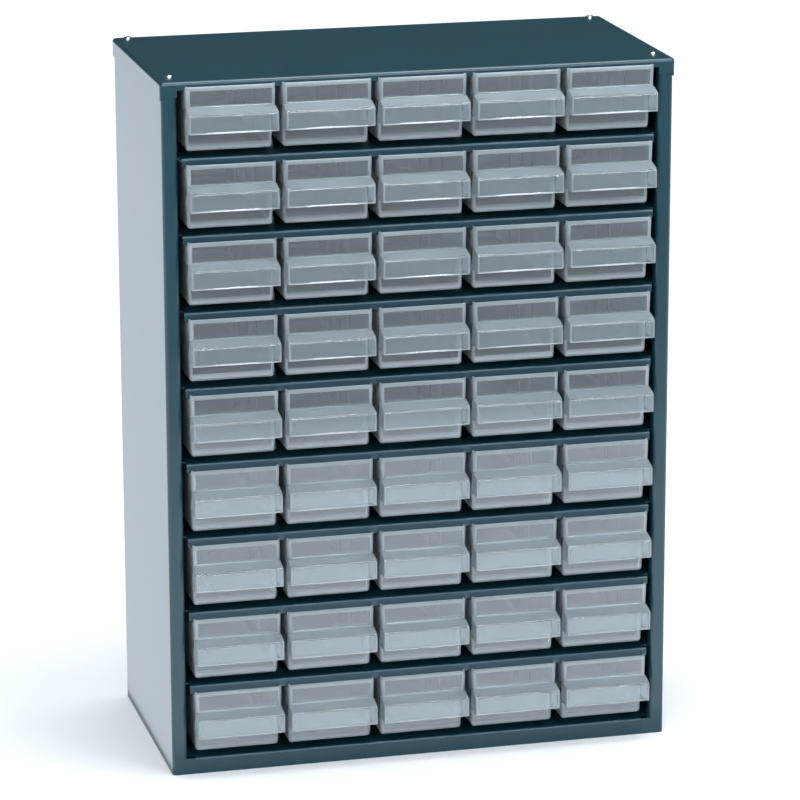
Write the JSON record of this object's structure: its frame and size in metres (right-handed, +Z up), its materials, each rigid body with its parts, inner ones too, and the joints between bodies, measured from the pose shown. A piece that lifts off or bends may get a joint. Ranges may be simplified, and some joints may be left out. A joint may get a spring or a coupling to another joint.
{
  "type": "parts organizer cabinet",
  "caption": "Upright sheet steel cabinet with a grid of small clear plastic drawers that slide out to the front on ribbed shelves.",
  "frame": {"origin": "middle of the footprint on the surface it stands on, counted from the drawer handles to the cabinet's back", "axes": "+X to the right seen from the front, +Y to the back, +Z up; the drawers slide out along -Y"},
  "size_m": [0.306, 0.1634, 0.418],
  "materials": {
    "painted_steel": "blue-green powder coat, fine-grained, semi-gloss",
    "bright_steel": "bright plated steel",
    "clear_plastic": "clear moulded plastic, glossy, slightly milky"
  },
  "bodies": {
    "cabinet": {"left_side_panel": "painted_steel", "right_side_panel": "painted_steel", "top_panel": "painted_steel", "bottom_panel": "painted_steel", "back_panel": "painted_steel", "shelf_1": "painted_steel", "shelf_2": "painted_steel", "shelf_3": "painted_steel", "shelf_4": "painted_steel", "shelf_5": "painted_steel", "shelf_6": "painted_steel", "shelf_7": "painted_steel", "shelf_8": "painted_steel", "stacking_studs": "bright_steel"},
    "drawer_r1c1_body": {"drawer_r1c1": "clear_plastic"},
    "drawer_r1c2_body": {"drawer_r1c2": "clear_plastic"},
    "drawer_r1c3_body": {"drawer_r1c3": "clear_plastic"},
    "drawer_r1c4_body": {"drawer_r1c4": "clear_plastic"},
    "drawer_r1c5_body": {"drawer_r1c5": "clear_plastic"},
    "drawer_r2c1_body": {"drawer_r2c1": "clear_plastic"},
    "drawer_r2c2_body": {"drawer_r2c2": "clear_plastic"},
    "drawer_r2c3_body": {"drawer_r2c3": "clear_plastic"},
    "drawer_r2c4_body": {"drawer_r2c4": "clear_plastic"},
    "drawer_r2c5_body": {"drawer_r2c5": "clear_plastic"},
    "drawer_r3c1_body": {"drawer_r3c1": "clear_plastic"},
    "drawer_r3c2_body": {"drawer_r3c2": "clear_plastic"},
    "drawer_r3c3_body": {"drawer_r3c3": "clear_plastic"},
    "drawer_r3c4_body": {"drawer_r3c4": "clear_plastic"},
    "drawer_r3c5_body": {"drawer_r3c5": "clear_plastic"},
    "drawer_r4c1_body": {"drawer_r4c1": "clear_plastic"},
    "drawer_r4c2_body": {"drawer_r4c2": "clear_plastic"},
    "drawer_r4c3_body": {"drawer_r4c3": "clear_plastic"},
    "drawer_r4c4_body": {"drawer_r4c4": "clear_plastic"},
    "drawer_r4c5_body": {"drawer_r4c5": "clear_plastic"},
    "drawer_r5c1_body": {"drawer_r5c1": "clear_plastic"},
    "drawer_r5c2_body": {"drawer_r5c2": "clear_plastic"},
    "drawer_r5c3_body": {"drawer_r5c3": "clear_plastic"},
    "drawer_r5c4_body": {"drawer_r5c4": "clear_plastic"},
    "drawer_r5c5_body": {"drawer_r5c5": "clear_plastic"},
    "drawer_r6c1_body": {"drawer_r6c1": "clear_plastic"},
    "drawer_r6c2_body": {"drawer_r6c2": "clear_plastic"},
    "drawer_r6c3_body": {"drawer_r6c3": "clear_plastic"},
    "drawer_r6c4_body": {"drawer_r6c4": "clear_plastic"},
    "drawer_r6c5_body": {"drawer_r6c5": "clear_plastic"},
    "drawer_r7c1_body": {"drawer_r7c1": "clear_plastic"},
    "drawer_r7c2_body": {"drawer_r7c2": "clear_plastic"},
    "drawer_r7c3_body": {"drawer_r7c3": "clear_plastic"},
    "drawer_r7c4_body": {"drawer_r7c4": "clear_plastic"},
    "drawer_r7c5_body": {"drawer_r7c5": "clear_plastic"},
    "drawer_r8c1_body": {"drawer_r8c1": "clear_plastic"},
    "drawer_r8c2_body": {"drawer_r8c2": "clear_plastic"},
    "drawer_r8c3_body": {"drawer_r8c3": "clear_plastic"},
    "drawer_r8c4_body": {"drawer_r8c4": "clear_plastic"},
    "drawer_r8c5_body": {"drawer_r8c5": "clear_plastic"},
    "drawer_r9c1_body": {"drawer_r9c1": "clear_plastic"},
    "drawer_r9c2_body": {"drawer_r9c2": "clear_plastic"},
    "drawer_r9c3_body": {"drawer_r9c3": "clear_plastic"},
    "drawer_r9c4_body": {"drawer_r9c4": "clear_plastic"},
    "drawer_r9c5_body": {"drawer_r9c5": "clear_plastic"}
  },
  "joints": [
    {"name": "drawer_r1c1_slide", "type": "slide", "parent": "cabinet", "child": "drawer_r1c1_body", "axis": [0, -1, 0], "range_m": [0, 0.124]},
    {"name": "drawer_r1c2_slide", "type": "slide", "parent": "cabinet", "child": "drawer_r1c2_body", "axis": [0, -1, 0], "range_m": [0, 0.124]},
    {"name": "drawer_r1c3_slide", "type": "slide", "parent": "cabinet", "child": "drawer_r1c3_body", "axis": [0, -1, 0], "range_m": [0, 0.124]},
    {"name": "drawer_r1c4_slide", "type": "slide", "parent": "cabinet", "child": "drawer_r1c4_body", "axis": [0, -1, 0], "range_m": [0, 0.124]},
    {"name": "drawer_r1c5_slide", "type": "slide", "parent": "cabinet", "child": "drawer_r1c5_body", "axis": [0, -1, 0], "range_m": [0, 0.124]},
    {"name": "drawer_r2c1_slide", "type": "slide", "parent": "cabinet", "child": "drawer_r2c1_body", "axis": [0, -1, 0], "range_m": [0, 0.124]},
    {"name": "drawer_r2c2_slide", "type": "slide", "parent": "cabinet", "child": "drawer_r2c2_body", "axis": [0, -1, 0], "range_m": [0, 0.124]},
    {"name": "drawer_r2c3_slide", "type": "slide", "parent": "cabinet", "child": "drawer_r2c3_body", "axis": [0, -1, 0], "range_m": [0, 0.124]},
    {"name": "drawer_r2c4_slide", "type": "slide", "parent": "cabinet", "child": "drawer_r2c4_body", "axis": [0, -1, 0], "range_m": [0, 0.124]},
    {"name": "drawer_r2c5_slide", "type": "slide", "parent": "cabinet", "child": "drawer_r2c5_body", "axis": [0, -1, 0], "range_m": [0, 0.124]},
    {"name": "drawer_r3c1_slide", "type": "slide", "parent": "cabinet", "child": "drawer_r3c1_body", "axis": [0, -1, 0], "range_m": [0, 0.124]},
    {"name": "drawer_r3c2_slide", "type": "slide", "parent": "cabinet", "child": "drawer_r3c2_body", "axis": [0, -1, 0], "range_m": [0, 0.124]},
    {"name": "drawer_r3c3_slide", "type": "slide", "parent": "cabinet", "child": "drawer_r3c3_body", "axis": [0, -1, 0], "range_m": [0, 0.124]},
    {"name": "drawer_r3c4_slide", "type": "slide", "parent": "cabinet", "child": "drawer_r3c4_body", "axis": [0, -1, 0], "range_m": [0, 0.124]},
    {"name": "drawer_r3c5_slide", "type": "slide", "parent": "cabinet", "child": "drawer_r3c5_body", "axis": [0, -1, 0], "range_m": [0, 0.124]},
    {"name": "drawer_r4c1_slide", "type": "slide", "parent": "cabinet", "child": "drawer_r4c1_body", "axis": [0, -1, 0], "range_m": [0, 0.124]},
    {"name": "drawer_r4c2_slide", "type": "slide", "parent": "cabinet", "child": "drawer_r4c2_body", "axis": [0, -1, 0], "range_m": [0, 0.124]},
    {"name": "drawer_r4c3_slide", "type": "slide", "parent": "cabinet", "child": "drawer_r4c3_body", "axis": [0, -1, 0], "range_m": [0, 0.124]},
    {"name": "drawer_r4c4_slide", "type": "slide", "parent": "cabinet", "child": "drawer_r4c4_body", "axis": [0, -1, 0], "range_m": [0, 0.124]},
    {"name": "drawer_r4c5_slide", "type": "slide", "parent": "cabinet", "child": "drawer_r4c5_body", "axis": [0, -1, 0], "range_m": [0, 0.124]},
    {"name": "drawer_r5c1_slide", "type": "slide", "parent": "cabinet", "child": "drawer_r5c1_body", "axis": [0, -1, 0], "range_m": [0, 0.124]},
    {"name": "drawer_r5c2_slide", "type": "slide", "parent": "cabinet", "child": "drawer_r5c2_body", "axis": [0, -1, 0], "range_m": [0, 0.124]},
    {"name": "drawer_r5c3_slide", "type": "slide", "parent": "cabinet", "child": "drawer_r5c3_body", "axis": [0, -1, 0], "range_m": [0, 0.124]},
    {"name": "drawer_r5c4_slide", "type": "slide", "parent": "cabinet", "child": "drawer_r5c4_body", "axis": [0, -1, 0], "range_m": [0, 0.124]},
    {"name": "drawer_r5c5_slide", "type": "slide", "parent": "cabinet", "child": "drawer_r5c5_body", "axis": [0, -1, 0], "range_m": [0, 0.124]},
    {"name": "drawer_r6c1_slide", "type": "slide", "parent": "cabinet", "child": "drawer_r6c1_body", "axis": [0, -1, 0], "range_m": [0, 0.124]},
    {"name": "drawer_r6c2_slide", "type": "slide", "parent": "cabinet", "child": "drawer_r6c2_body", "axis": [0, -1, 0], "range_m": [0, 0.124]},
    {"name": "drawer_r6c3_slide", "type": "slide", "parent": "cabinet", "child": "drawer_r6c3_body", "axis": [0, -1, 0], "range_m": [0, 0.124]},
    {"name": "drawer_r6c4_slide", "type": "slide", "parent": "cabinet", "child": "drawer_r6c4_body", "axis": [0, -1, 0], "range_m": [0, 0.124]},
    {"name": "drawer_r6c5_slide", "type": "slide", "parent": "cabinet", "child": "drawer_r6c5_body", "axis": [0, -1, 0], "range_m": [0, 0.124]},
    {"name": "drawer_r7c1_slide", "type": "slide", "parent": "cabinet", "child": "drawer_r7c1_body", "axis": [0, -1, 0], "range_m": [0, 0.124]},
    {"name": "drawer_r7c2_slide", "type": "slide", "parent": "cabinet", "child": "drawer_r7c2_body", "axis": [0, -1, 0], "range_m": [0, 0.124]},
    {"name": "drawer_r7c3_slide", "type": "slide", "parent": "cabinet", "child": "drawer_r7c3_body", "axis": [0, -1, 0], "range_m": [0, 0.124]},
    {"name": "drawer_r7c4_slide", "type": "slide", "parent": "cabinet", "child": "drawer_r7c4_body", "axis": [0, -1, 0], "range_m": [0, 0.124]},
    {"name": "drawer_r7c5_slide", "type": "slide", "parent": "cabinet", "child": "drawer_r7c5_body", "axis": [0, -1, 0], "range_m": [0, 0.124]},
    {"name": "drawer_r8c1_slide", "type": "slide", "parent": "cabinet", "child": "drawer_r8c1_body", "axis": [0, -1, 0], "range_m": [0, 0.124]},
    {"name": "drawer_r8c2_slide", "type": "slide", "parent": "cabinet", "child": "drawer_r8c2_body", "axis": [0, -1, 0], "range_m": [0, 0.124]},
    {"name": "drawer_r8c3_slide", "type": "slide", "parent": "cabinet", "child": "drawer_r8c3_body", "axis": [0, -1, 0], "range_m": [0, 0.124]},
    {"name": "drawer_r8c4_slide", "type": "slide", "parent": "cabinet", "child": "drawer_r8c4_body", "axis": [0, -1, 0], "range_m": [0, 0.124]},
    {"name": "drawer_r8c5_slide", "type": "slide", "parent": "cabinet", "child": "drawer_r8c5_body", "axis": [0, -1, 0], "range_m": [0, 0.124]},
    {"name": "drawer_r9c1_slide", "type": "slide", "parent": "cabinet", "child": "drawer_r9c1_body", "axis": [0, -1, 0], "range_m": [0, 0.124]},
    {"name": "drawer_r9c2_slide", "type": "slide", "parent": "cabinet", "child": "drawer_r9c2_body", "axis": [0, -1, 0], "range_m": [0, 0.124]},
    {"name": "drawer_r9c3_slide", "type": "slide", "parent": "cabinet", "child": "drawer_r9c3_body", "axis": [0, -1, 0], "range_m": [0, 0.124]},
    {"name": "drawer_r9c4_slide", "type": "slide", "parent": "cabinet", "child": "drawer_r9c4_body", "axis": [0, -1, 0], "range_m": [0, 0.124]},
    {"name": "drawer_r9c5_slide", "type": "slide", "parent": "cabinet", "child": "drawer_r9c5_body", "axis": [0, -1, 0], "range_m": [0, 0.124]}
  ]
}
